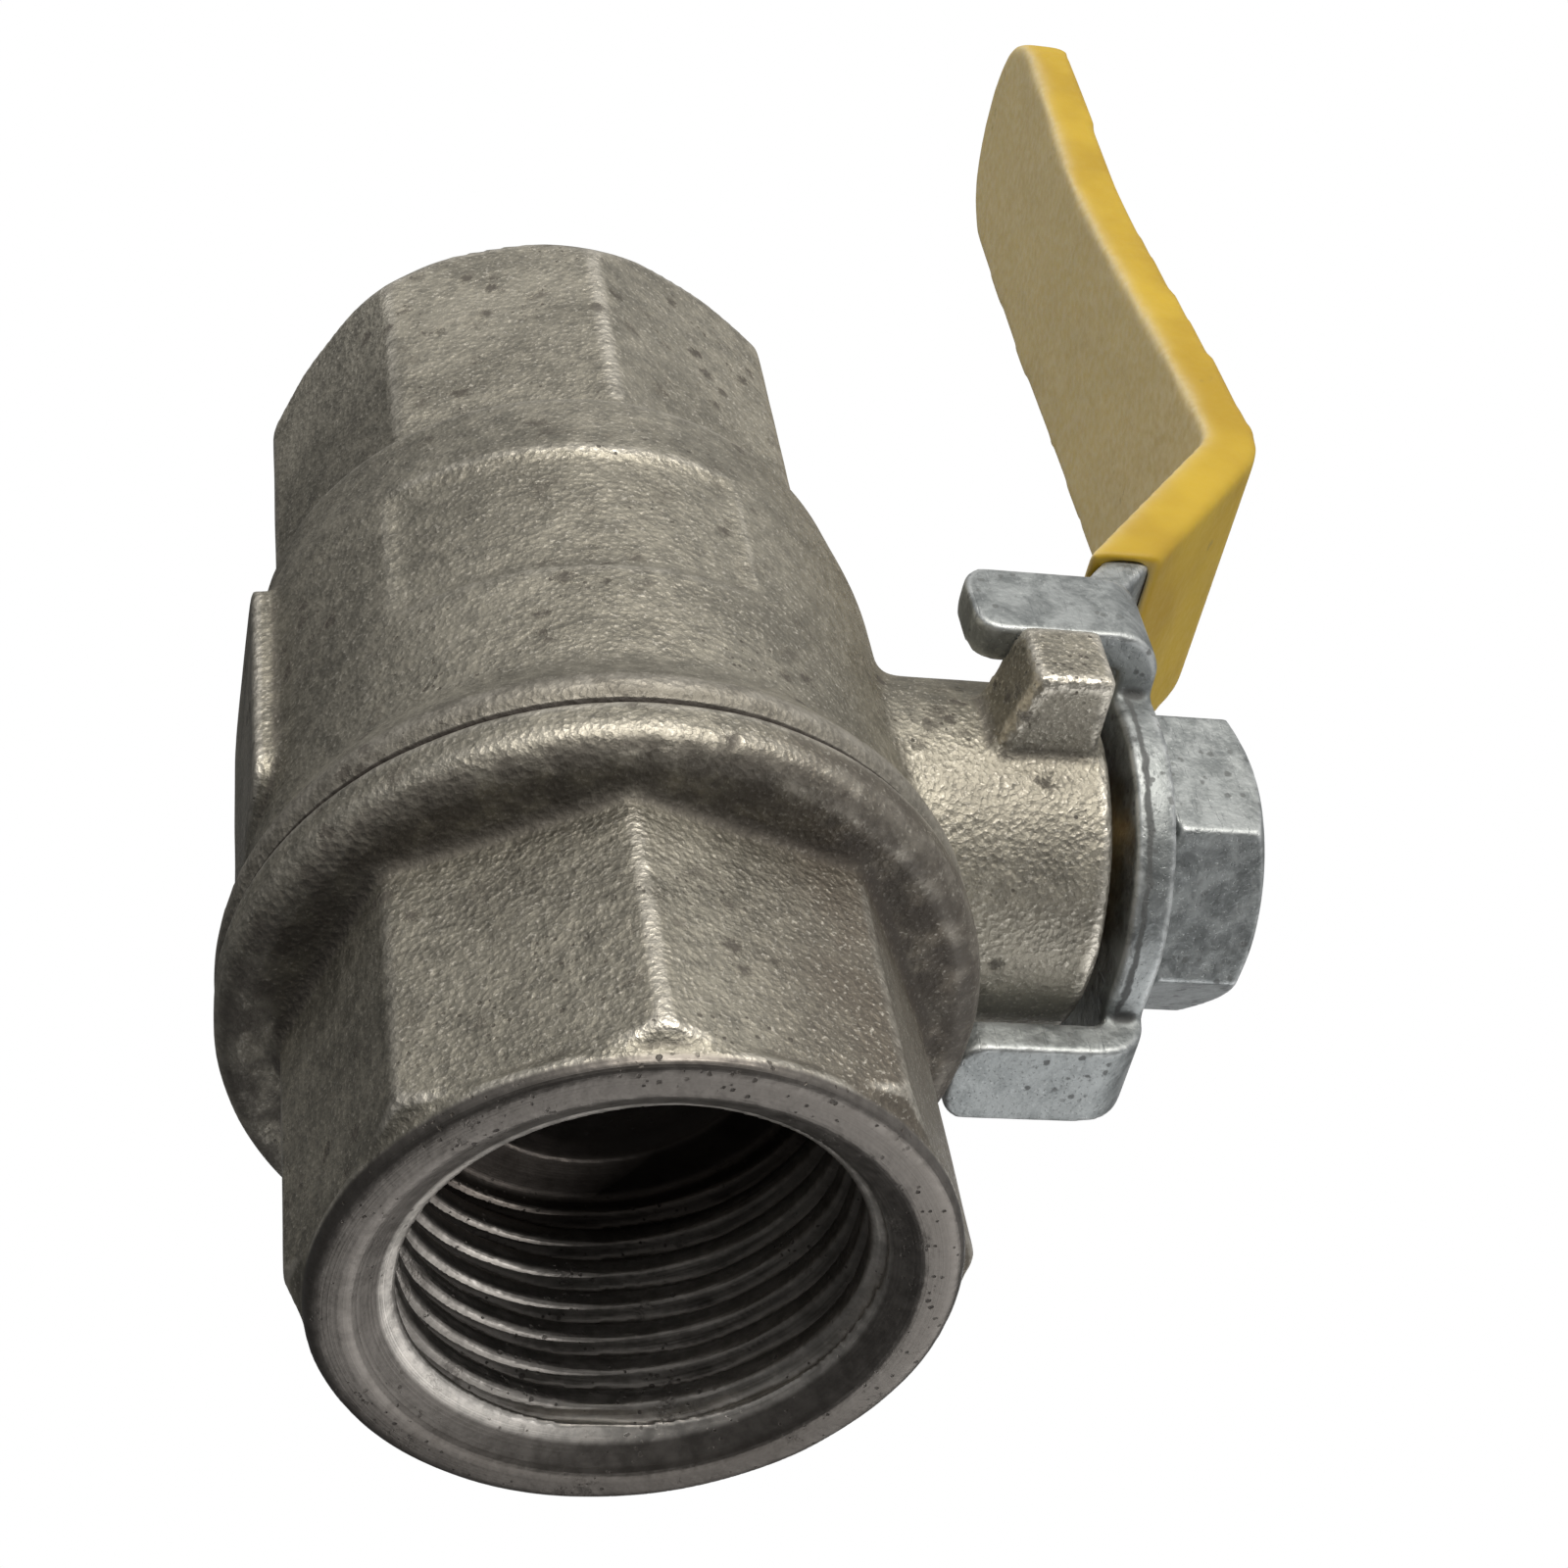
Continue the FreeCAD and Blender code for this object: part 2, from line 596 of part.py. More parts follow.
def grip_sleeve():
    """Dipped sleeve over the rise and the handle strip, closed at the tip."""
    outer = lever_band(SLEEVE_WALL)
    outer = outer.common(handle_outline(SLEEVE_START_Y, SLEEVE_WALL, TIP_Y + SLEEVE_WALL))
    core = lever_band(0).common(handle_outline(0, 0, TIP_Y))
    return outer.cut(core)


def lever_nut():
    """Hexagon nut chamfered on both faces."""
    floor = PLATE_FLOOR_Z + PLATE_THICKNESS
    top = floor + NUT_HEIGHT
    corner = NUT_FLATS / 2 / math.cos(math.pi / NUT_SIDES)
    drop = (corner + OVERLAP - NUT_CHAMFER_R) * math.tan(math.radians(NUT_CHAMFER_DEG))
    points = []
    for i in range(NUT_SIDES):
        angle = math.radians(NUT_TURN_DEG + 360.0 * i / NUT_SIDES)
        points.append(vec(corner * math.cos(angle), STEM_Y + corner * math.sin(angle), floor))
    hexagon = closed_face(points).extrude(vec(0, 0, NUT_HEIGHT))
    limit = turned_z([(0, floor), (NUT_CHAMFER_R, floor), (corner + OVERLAP, floor + drop),
                      (corner + OVERLAP, top - drop), (NUT_CHAMFER_R, top), (0, top)])
    return hexagon.common(limit).cut(rod_z(STEM_R, 0, LID_Z))


def main():
    parts = {
        "valve_body": valve_body(),
        "end_cap": end_cap(),
        "joint_seal": joint_seal(),
        "ball": ball(),
        "seat_inlet": seat(-1),
        "seat_outlet": seat(1),
        "stem": stem(),
        "thrust_washer": thrust_washer(),
        "packing_gland": packing_gland(),
        "lever": lever(),
        "grip_sleeve": grip_sleeve(),
        "lever_nut": lever_nut(),
    }
    for i in range(PACKING_RINGS):
        parts["packing_ring_%d" % (i + 1)] = packing_ring(i)
    os.makedirs("parts", exist_ok=True)
    for name, shape in parts.items():
        shape.translate(vec(0, -MOUTH_DEPTH, 0))
        solids = len(shape.Solids)
        print(name, "valid", shape.isValid(), "solids", solids, "volume", round(shape.Volume, 1))
        shape.exportStep("parts/%s.step" % name)


main()
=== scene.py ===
import bmesh
import bpy
import json
import math
import numpy as np
from mathutils import Matrix, Quaternion, Vector, noise


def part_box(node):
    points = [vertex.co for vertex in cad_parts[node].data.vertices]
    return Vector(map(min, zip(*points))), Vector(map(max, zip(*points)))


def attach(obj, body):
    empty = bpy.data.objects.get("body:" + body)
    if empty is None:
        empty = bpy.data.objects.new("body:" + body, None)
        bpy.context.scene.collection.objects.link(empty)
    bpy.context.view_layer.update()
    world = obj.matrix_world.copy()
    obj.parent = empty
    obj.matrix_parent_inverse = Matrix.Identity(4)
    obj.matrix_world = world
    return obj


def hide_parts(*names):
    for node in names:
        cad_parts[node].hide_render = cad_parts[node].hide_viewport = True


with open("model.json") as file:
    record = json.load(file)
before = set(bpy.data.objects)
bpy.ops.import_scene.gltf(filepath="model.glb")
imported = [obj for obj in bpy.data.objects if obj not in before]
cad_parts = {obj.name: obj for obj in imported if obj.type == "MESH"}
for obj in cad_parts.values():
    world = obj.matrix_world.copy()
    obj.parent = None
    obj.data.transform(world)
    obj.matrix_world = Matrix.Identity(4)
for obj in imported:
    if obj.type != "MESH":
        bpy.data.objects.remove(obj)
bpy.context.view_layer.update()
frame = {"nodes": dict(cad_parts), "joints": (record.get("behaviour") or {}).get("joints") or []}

MM = 0.001

# Places along the flow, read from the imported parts.
hinge = [joint for joint in frame["joints"] if joint["name"] == "lever_turn"][0]
STEM_Y = hinge["pos_m"][1]
MOUTH_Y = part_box("end_cap")[0].y
OUTLET_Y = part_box("valve_body")[1].y
JOINT_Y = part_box("valve_body")[0].y
FLANGE_THICK = 2.9 * MM
FLANGE_Y = JOINT_Y - FLANGE_THICK
PLATE_THICK = 2 * MM
PLATE_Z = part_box("lever_nut")[0].z - PLATE_THICK

# Distances from the flow axis.
THREAD_FLANK_R = 10.1 * MM
THREAD_ROOT_R = 10.4 * MM
BORE_R = 11 * MM
THREADS_KEPT_R = 11.4 * MM
PORT_R = 11.45 * MM
SKIN_R = 11.8 * MM
JOINT_GAP_R = 14 * MM
FLANGE_RIM_R = 15 * MM

# Share of the way to its neighbours' mean that a vertex moves in one round of smoothing.
SMOOTHING = 0.5
# Percentile of the standing-out that counts as a full edge or corner.
FULL_EDGE = 99


# ---------------------------------------------------------------- mesh work

def softened(node, name, voxel, rounds, keep=None):
    """Copy of a CAD node on an even grid of small faces, with its edges rounded a little."""
    source = frame["nodes"][node].data.copy()
    source.materials.clear()
    piece = bpy.data.objects.new(name, source)
    bpy.context.scene.collection.objects.link(piece)
    source.transform(Matrix.Scale(1 / MM, 4))
    remesh = piece.modifiers.new("grid", "REMESH")
    remesh.mode = "VOXEL"
    remesh.voxel_size = voxel
    remesh.use_smooth_shade = True
    grid = bpy.context.evaluated_depsgraph_get()
    mesh = bpy.data.meshes.new_from_object(piece.evaluated_get(grid))
    piece.modifiers.clear()
    piece.data = mesh
    bpy.data.meshes.remove(source)
    mesh.name = name
    smooth(mesh, rounds, keep)
    mesh.transform(Matrix.Scale(MM, 4))
    return piece


def edge_table(mesh):
    """Both ends of every edge, and how many edges meet at each vertex."""
    ends = np.zeros(len(mesh.edges) * 2, np.int64)
    mesh.edges.foreach_get("vertices", ends)
    ends = ends.reshape(-1, 2)
    count = np.bincount(ends.ravel(), minlength=len(mesh.vertices)).astype(float)
    return ends, np.maximum(count, 1)


def neighbour_mean(values, ends, count):
    """Mean of the values over each vertex's neighbours."""
    total = np.zeros_like(values)
    np.add.at(total, ends[:, 0], values[ends[:, 1]])
    np.add.at(total, ends[:, 1], values[ends[:, 0]])
    if values.ndim == 2:
        return total / count[:, None]
    return total / count


def places(mesh):
    """Every vertex's place, one row each."""
    co = np.zeros(len(mesh.vertices) * 3, np.float32)
    mesh.vertices.foreach_get("co", co)
    return co.reshape(-1, 3).astype(float)


def normals(mesh):
    """Every vertex's outward direction, one row each."""
    out = np.zeros(len(mesh.vertices) * 3, np.float32)
    mesh.vertices.foreach_get("normal", out)
    return out.reshape(-1, 3).astype(float)


def place(mesh, co):
    """Moves the vertices to these places."""
    mesh.vertices.foreach_set("co", co.astype(np.float32).ravel())
    mesh.update()


def smooth(mesh, rounds, keep=None):
    """Rounds the edges by moving each vertex towards its neighbours' mean, less where kept."""
    ends, count = edge_table(mesh)
    co = places(mesh)
    share = np.full(len(co), SMOOTHING)
    if keep is not None:
        share *= 1 - keep(co)
    for _ in range(rounds):
        co += (neighbour_mean(co, ends, count) - co) * share[:, None]
    place(mesh, co)


def mark_edges(piece, reach, bore=0.0):
    """Stores how far each vertex stands out (edge) or lies in a corner (crevice), from 0 to 1.

    The scale is taken from the vertices that lie farther than bore from the flow axis.
    """
    mesh = piece.data
    ends, count = edge_table(mesh)
    co = places(mesh)
    offset = np.einsum("ij,ij->i", co - neighbour_mean(co, ends, count), normals(mesh))
    for _ in range(reach):
        offset = 0.5 * offset + 0.5 * neighbour_mean(offset, ends, count)
    outside = np.hypot(co[:, 0], co[:, 2]) > bore
    scale = np.percentile(np.abs(offset[outside]), FULL_EDGE)
    for label, value in (("edge", offset / scale), ("crevice", -offset / scale)):
        layer = mesh.attributes.new(label, "FLOAT", "POINT")
        layer.data.foreach_set("value", np.clip(value, 0, 1).astype(np.float32))


# ---------------------------------------------------------------- materials

class Nodes:
    """Short names for the shader nodes of one material, in the object's own coordinates."""

    def __init__(self, name):
        self.material = bpy.data.materials.new(name)
        self.material.use_nodes = True
        self.tree = self.material.node_tree
        self.shader = self.tree.nodes["Principled BSDF"]
        self.spot = self.tree.nodes.new("ShaderNodeTexCoord").outputs["Object"]

    def join(self, value, socket):
        """Links a socket, or sets a plain value."""
        if isinstance(value, bpy.types.NodeSocket):
            self.tree.links.new(value, socket)
        elif value is not None:
            socket.default_value = value

    def noise(self, size, detail=3.0, roughness=0.55, spot=None, warp=0.0):
        """Noise from 0 to 1 whose lumps are about this many metres across."""
        node = self.tree.nodes.new("ShaderNodeTexNoise")
        self.join(self.spot if spot is None else spot, node.inputs["Vector"])
        node.inputs["Scale"].default_value = 1 / size
        node.inputs["Detail"].default_value = detail
        node.inputs["Roughness"].default_value = roughness
        node.inputs["Distortion"].default_value = warp
        return node.outputs["Fac"]

    def cells(self, size):
        """Distance to the nearest of random points about this many metres apart."""
        node = self.tree.nodes.new("ShaderNodeTexVoronoi")
        self.join(self.spot, node.inputs["Vector"])
        node.inputs["Scale"].default_value = 1 / size
        return node.outputs["Distance"]

    def math(self, operation, a, b=None):
        """One step of arithmetic on one or two values."""
        node = self.tree.nodes.new("ShaderNodeMath")
        node.operation = operation
        for value, socket in zip((a, b), node.inputs):
            self.join(value, socket)
        return node.outputs[0]

    def span(self, value, low, high, out_low=0.0, out_high=1.0):
        """Smoothly maps low..high to out_low..out_high, and holds the ends."""
        node = self.tree.nodes.new("ShaderNodeMapRange")
        node.interpolation_type = "SMOOTHSTEP"
        self.join(value, node.inputs["Value"])
        node.inputs["From Min"].default_value = low
        node.inputs["From Max"].default_value = high
        self.join(out_low, node.inputs["To Min"])
        self.join(out_high, node.inputs["To Max"])
        return node.outputs["Result"]

    def mix(self, share, a, b):
        """Colour a turning to colour b as share goes from 0 to 1."""
        node = self.tree.nodes.new("ShaderNodeMix")
        node.data_type = "RGBA"
        self.join(share, node.inputs["Factor"])
        self.join(a, node.inputs[6])
        self.join(b, node.inputs[7])
        return node.outputs[2]

    def axes(self):
        """The three coordinates."""
        node = self.tree.nodes.new("ShaderNodeSeparateXYZ")
        self.join(self.spot, node.inputs[0])
        return node.outputs[0], node.outputs[1], node.outputs[2]

    def stretched(self, x, y, z):
        """The coordinates, each multiplied, so that a texture is drawn out."""
        node = self.tree.nodes.new("ShaderNodeVectorMath")
        node.operation = "MULTIPLY"
        self.join(self.spot, node.inputs[0])
        node.inputs[1].default_value = (x, y, z)
        return node.outputs[0]

    def mark(self, label):
        """A mark stored on the mesh."""
        node = self.tree.nodes.new("ShaderNodeAttribute")
        node.attribute_name = label
        return node.outputs["Fac"]

    def bump(self, height, depth, normal=None):
        """Bump whose full height is this many metres."""
        node = self.tree.nodes.new("ShaderNodeBump")
        self.join(height, node.inputs["Height"])
        node.inputs["Distance"].default_value = depth
        self.join(normal, node.inputs["Normal"])
        return node.outputs["Normal"]

    def finish(self, colour, metallic, roughness, normal, specular=0.5):
        """Joins the surface's values to the shader, and gives the material."""
        self.join(colour, self.shader.inputs["Base Color"])
        self.join(metallic, self.shader.inputs["Metallic"])
        self.join(roughness, self.shader.inputs["Roughness"])
        self.join(normal, self.shader.inputs["Normal"])
        self.shader.inputs["Specular IOR Level"].default_value = specular
        return self.material

    def scatter(self, weight, reach):
        """Light scattered under the surface, reaching this many metres in red, green and blue."""
        self.shader.inputs["Subsurface Weight"].default_value = weight
        self.shader.inputs["Subsurface Radius"].default_value = reach
        self.shader.inputs["Subsurface Scale"].default_value = 1.0

    def radius(self):
        """Distance from the flow axis."""
        x, _, z = self.axes()
        return self.math("SQRT", self.math("ADD", self.math("MULTIPLY", x, x),
                                           self.math("MULTIPLY", z, z)))

    def turning_marks(self, pitch):
        """Fine rings left by a lathe tool, about the flow axis."""
        pair = self.tree.nodes.new("ShaderNodeCombineXYZ")
        self.join(self.radius(), pair.inputs[0])
        self.join(self.axes()[1], pair.inputs[1])
        return self.noise(pitch, detail=2.0, spot=pair.outputs[0])


WARM_LIGHT = (0.44, 0.412, 0.345, 1)
WARM_DARK = (0.265, 0.248, 0.208, 1)
# Near-black of stains and pits, also used as painted shade in the bore, thread roots, corners and
# beside the joint.
STAIN_AND_SHADE = (0.045, 0.036, 0.030, 1)
DARK_BROWN = (0.15, 0.125, 0.10, 1)
BARE_EDGE = (0.68, 0.64, 0.56, 1)
MACHINED = (0.68, 0.64, 0.59, 1)
MACHINED_DARK = (0.46, 0.435, 0.40, 1)

# Depth of the turned ring at the mouth and of the outlet's face, and how far each fades.
RING_DEPTH = 0.45 * MM
RING_FADE = 0.3 * MM
FACE_DEPTH = 0.1 * MM
FACE_FADE = 0.2 * MM
# Ranges over which the shell's dirt and painted shade come in.
BORE_SHADE_Y = (0.2 * MM, 1.2 * MM)
BORE_DARK_Y = (7 * MM, 12.5 * MM)
RING_SHADE_X = (4 * MM, 10 * MM)
BROWN_SIDE_Z = (1 * MM, 8 * MM)
BROWN_END_Y = (17 * MM, 14 * MM)
FLANGE_GRIME_Z = (3 * MM, 11 * MM)
LIP_SHADE_Y = (JOINT_Y + 2.6 * MM, JOINT_Y + 1.2 * MM)


def forged_metal():
    """Shot-blasted forged brass under dull nickel, with turned ports, stains, painted shade and worn
    edges.
    """
    n = Nodes("nickel_plated_brass_forged")
    radius = n.radius()
    _, y, _ = n.axes()
    bore = n.span(radius, PORT_R + 0.15 * MM, PORT_R)
    inlet_ring = n.span(y, MOUTH_Y + RING_DEPTH + RING_FADE, MOUTH_Y + RING_DEPTH)
    outlet_ring = n.span(y, OUTLET_Y - FACE_DEPTH - FACE_FADE, OUTLET_Y - FACE_DEPTH)
    turned = n.math("MAXIMUM", bore, n.math("MAXIMUM", inlet_ring, outlet_ring))
    mottle = n.noise(0.9 * MM, detail=5, roughness=0.7)
    grain = n.noise(0.20 * MM, detail=2.0, roughness=0.6)

    colour = forged_colour(n, mottle, grain)
    worn = n.math("MULTIPLY", n.span(n.mark("edge"), 0.12, 0.6), n.span(mottle, 0.35, 0.6, 0.3, 1))
    colour = n.mix(worn, colour, BARE_EDGE)
    colour = n.mix(turned, colour, turned_colour(n, radius, mottle))
    # Dirt, with painted shade in the corners, beside the joint and at the flange's foot.
    dirt_and_shade = shell_dirt_and_shade(n, turned)
    colour = n.mix(dirt_and_shade, colour, STAIN_AND_SHADE)

    blasted = n.math("ADD", n.span(mottle, 0.3, 0.7, 0.50, 0.61), n.math("MULTIPLY", dirt_and_shade, 0.2))
    rough = n.math("SUBTRACT", blasted, n.math("MULTIPLY", turned, 0.04))
    rough = n.math("SUBTRACT", rough, n.math("MULTIPLY", worn, 0.12))
    normal = shell_bumps(n, grain, turned, dirt_and_shade)
    return n.finish(colour, n.span(dirt_and_shade, 0, 1, 1.0, 0.35), rough, normal)


def forged_colour(n, mottle, grain):
    """Warm grey skin with slow patches, fine mottling, bright specks and one side darker brown."""
    patches = n.noise(6 * MM, detail=4, roughness=0.6, warp=0.4)
    tone = n.math("ADD", n.math("MULTIPLY", patches, 0.5), n.math("MULTIPLY", mottle, 0.5))
    colour = n.mix(n.span(tone, 0.36, 0.64), WARM_DARK, WARM_LIGHT)
    _, y, z = n.axes()
    # One side, near the mouth, turned darker brown in patches.
    side = n.math("MULTIPLY", n.span(z, *BROWN_SIDE_Z), n.span(y, *BROWN_END_Y))
    colour = n.mix(n.math("MULTIPLY", side, n.span(patches, 0.3, 0.6, 0.3, 0.75)), colour, DARK_BROWN)
    return n.mix(n.span(grain, 0.56, 0.72, 0.0, 0.8), colour, BARE_EDGE)


def turned_colour(n, radius, mottle):
    """Machined metal of the ports, with painted shade inside, in the thread roots, deep in, and on one
    side.
    """
    # Painted shade: thread roots darkened towards the root radius.
    root_shade = n.span(radius, THREAD_FLANK_R, THREAD_ROOT_R, 0.0, 0.75)
    x, y, _ = n.axes()
    film = n.mix(n.span(mottle, 0.35, 0.65), MACHINED_DARK, MACHINED)
    within = n.span(radius, BORE_R + 0.2 * MM, BORE_R)
    # Painted shade: the bore darkened from just inside the mouth inwards.
    inside_shade = n.math("MULTIPLY", n.span(y, *BORE_SHADE_Y), within)
    film = n.mix(n.math("MULTIPLY", inside_shade, 0.6), film, STAIN_AND_SHADE)
    ring = n.span(radius, BORE_R, BORE_R + 0.2 * MM)
    # Painted shade: the turned ring darkened towards +x, the side turned away from the key light.
    film = n.mix(n.math("MULTIPLY", n.span(x, *RING_SHADE_X, 0.0, 0.34), ring), film, STAIN_AND_SHADE)
    # Painted shade: the bore darkened deep in, towards the seat.
    deep_shade = n.math("MULTIPLY", n.span(y, *BORE_DARK_Y), within)
    return n.mix(n.math("MAXIMUM", root_shade, n.math("MULTIPLY", deep_shade, 0.85)), film, STAIN_AND_SHADE)


def shell_dirt_and_shade(n, turned):
    """Dark brown pits in clusters, soft smears, and dirt with painted shade in the corners of the
    forged skin.
    """
    skin = n.math("SUBTRACT", 1.0, turned)
    ragged = n.math("MULTIPLY", n.noise(0.5 * MM, detail=5, roughness=0.7), 0.9)
    clusters = n.span(n.noise(8 * MM, detail=2), 0.53, 0.61)
    spots = n.span(n.math("ADD", n.cells(1.7 * MM), ragged), 0.78, 0.58)
    spots = n.math("MULTIPLY", n.math("MULTIPLY", spots, clusters), skin)
    rare = n.span(n.noise(5 * MM, detail=3), 0.50, 0.62)
    fine_spots = n.math("MULTIPLY", n.span(n.math("ADD", n.cells(0.5 * MM), ragged), 0.66, 0.52), rare)
    pits = n.math("MULTIPLY", n.math("MAXIMUM", spots, fine_spots), 0.75)
    smears = n.math("MULTIPLY", n.span(n.noise(2.0 * MM, detail=6, roughness=0.7), 0.56, 0.70),
                    n.span(n.noise(10 * MM, detail=2), 0.45, 0.6))
    specks = n.span(n.math("ADD", n.cells(0.42 * MM), ragged), 0.62, 0.50)
    patches = n.span(n.noise(3 * MM, detail=3), 0.47, 0.58)
    specks = n.math("MULTIPLY", n.math("MULTIPLY", specks, patches), n.math("MULTIPLY", turned, 0.8))
    pits = n.math("MAXIMUM", pits, specks)
    # Dirt and painted shade in the corners, where each vertex lies in a hollow.
    corner_dirt_and_shade = n.math("MULTIPLY", n.span(n.mark("crevice"), 0.2, 0.8, 0.0, 0.8), skin)
    dirt_and_shade = n.math("MAXIMUM", pits, n.math("MULTIPLY", smears, 0.65))
    return n.math("MAXIMUM", n.math("MAXIMUM", dirt_and_shade, corner_dirt_and_shade), joint_dirt_and_shade(n))


def joint_dirt_and_shade(n):
    """Black line in the joint of the two halves, painted shade on the lip beside it and at the
    flange's foot, and grime on the flange's rim.
    """
    _, y, z = n.axes()
    outside = n.span(n.radius(), JOINT_GAP_R, JOINT_GAP_R + 0.4 * MM)
    gap = n.math("ABSOLUTE", n.math("SUBTRACT", y, JOINT_Y))
    line = n.math("MULTIPLY", n.span(gap, 0.38 * MM, 0.24 * MM, 0.0, 0.97), outside)
    # Painted shade: the body's lip beside the joint darkened, damping its highlight.
    lip_shade = n.math("MULTIPLY", n.span(y, *LIP_SHADE_Y, 0.0, 0.42),
                 n.span(y, JOINT_Y, JOINT_Y + 0.2 * MM))
    lip_shade = n.math("MULTIPLY", lip_shade, outside)
    # Painted shade: a ragged dark band at the flange's foot, in the corner by the octagon.
    foot = n.math("ABSOLUTE", n.math("SUBTRACT", y, FLANGE_Y))
    ragged = n.span(n.noise(1.5 * MM, detail=4), 0.3, 0.6, 0.25, 0.75)
    foot_shade = n.math("MULTIPLY", n.span(foot, 1.0 * MM, 0.3 * MM), ragged)
    edge = n.span(n.radius(), FLANGE_RIM_R, FLANGE_RIM_R + 0.6 * MM)
    rim = n.math("MULTIPLY", n.span(z, *FLANGE_GRIME_Z), edge)
    rim = n.math("MULTIPLY", rim, n.span(y, JOINT_Y, JOINT_Y - 0.3 * MM, 0.0, 0.8))
    rim = n.math("MULTIPLY", rim, ragged)
    return n.math("MAXIMUM", n.math("MAXIMUM", line, lip_shade), n.math("MAXIMUM", foot_shade, rim))


def shell_bumps(n, grain, turned, dirt_and_shade):
    """Lumps and shot marks on the skin, tool marks on turned faces, and sunken pits."""
    skin = n.math("SUBTRACT", 1.0, turned)
    lumps = n.bump(n.noise(1.3 * MM, detail=3), 0.07 * MM)
    dents = n.math("ADD", n.cells(0.32 * MM), grain)
    shot = n.bump(n.math("MULTIPLY", dents, skin), 0.048 * MM, lumps)
    marks = n.bump(n.math("MULTIPLY", n.turning_marks(0.13 * MM), turned), 0.016 * MM, shot)
    return n.bump(n.math("SUBTRACT", 1.0, dirt_and_shade), 0.04 * MM, marks)


ZINC_LIGHT = (0.43, 0.45, 0.45, 1)
ZINC_DARK = (0.25, 0.265, 0.265, 1)
ZINC_SPOT_AND_SHADE = (0.07, 0.07, 0.068, 1)
ZINC_EDGE = (0.66, 0.68, 0.68, 1)
HUB_R = 8.8 * MM
SHEAR_HEIGHT = 0.95 * MM


def zinc_steel():
    """Grey zinc on pressed steel: satin, mottled, speckled, with fine scratches and worn edges."""
    n = Nodes("zinc_plated_steel_satin")
    mottle = n.noise(1.6 * MM, detail=6, roughness=0.7, warp=0.5)
    fine = n.noise(0.22 * MM, detail=3)
    colour = n.mix(n.span(mottle, 0.36, 0.64), ZINC_DARK, ZINC_LIGHT)
    colour = n.mix(n.span(fine, 0.6, 0.75, 0.0, 0.4), colour, ZINC_EDGE)
    worn = n.math("MULTIPLY", n.span(n.mark("edge"), 0.3, 0.9), n.span(mottle, 0.35, 0.6, 0.2, 0.9))
    colour = n.mix(worn, colour, ZINC_EDGE)
    # Specks and a shear mark, with painted shade in the corners.
    dirt_and_shade = zinc_dirt_and_shade(n)
    colour = n.mix(dirt_and_shade, colour, ZINC_SPOT_AND_SHADE)
    scratch_spot = n.stretched(1.0, 0.07, 1.0)
    scratches = n.span(n.noise(0.16 * MM, detail=1.0, spot=scratch_spot), 0.62, 0.72)
    rough = n.math("ADD", n.span(mottle, 0.3, 0.7, 0.50, 0.62), n.math("MULTIPLY", dirt_and_shade, 0.2))
    waves = n.bump(n.noise(0.9 * MM, detail=3), 0.07 * MM)
    pressed = n.bump(n.noise(0.35 * MM, detail=2), 0.02 * MM, waves)
    cuts = n.bump(n.math("SUBTRACT", 1.0, scratches), 0.012 * MM, pressed)
    return n.finish(colour, n.span(dirt_and_shade, 0, 1, 1.0, 0.4), rough, cuts)


def zinc_dirt_and_shade(n):
    """Dark specks in clusters, grime with painted shade in the corners and a shear mark round the
    plate's rim.
    """
    ragged = n.math("MULTIPLY", n.noise(0.3 * MM, detail=3), 0.5)
    specks = n.span(n.math("ADD", n.cells(0.75 * MM), ragged), 0.52, 0.40)
    clusters = n.span(n.noise(3.5 * MM, detail=2), 0.47, 0.57)
    # Grime and painted shade in the corners.
    crevice = n.span(n.mark("crevice"), 0.25, 0.9, 0.0, 0.85)
    spots = n.math("MULTIPLY", n.math("MULTIPLY", specks, clusters), 0.5)
    return n.math("MAXIMUM", n.math("MAXIMUM", spots, crevice), shear_mark(n))


def shear_mark(n):
    """Wavy dark groove half way up the sheared rim of the hub plate."""
    x, y, z = n.axes()
    across = n.math("SUBTRACT", y, STEM_Y)
    reach = n.math("SQRT", n.math("ADD", n.math("MULTIPLY", x, x), n.math("MULTIPLY", across, across)))
    rim = n.span(reach, HUB_R - 0.35 * MM, HUB_R - 0.15 * MM)
    hub = n.span(reach, HUB_R + 0.3 * MM, HUB_R + 0.15 * MM)
    waves = n.math("MULTIPLY", n.noise(1.1 * MM, detail=3), 0.7 * MM)
    height = n.math("ADD", n.math("SUBTRACT", z, PLATE_Z + SHEAR_HEIGHT), waves)
    groove = n.span(n.math("ABSOLUTE", height), 0.22 * MM, 0.08 * MM, 0.0, 0.7)
    return n.math("MULTIPLY", n.math("MULTIPLY", rim, hub), groove)


YELLOW = (0.56, 0.375, 0.03, 1)
YELLOW_DEEP = (0.45, 0.285, 0.02, 1)
DUST_AND_SHEEN = (0.66, 0.54, 0.30, 1)
SCUFFED = (0.20, 0.15, 0.06, 1)


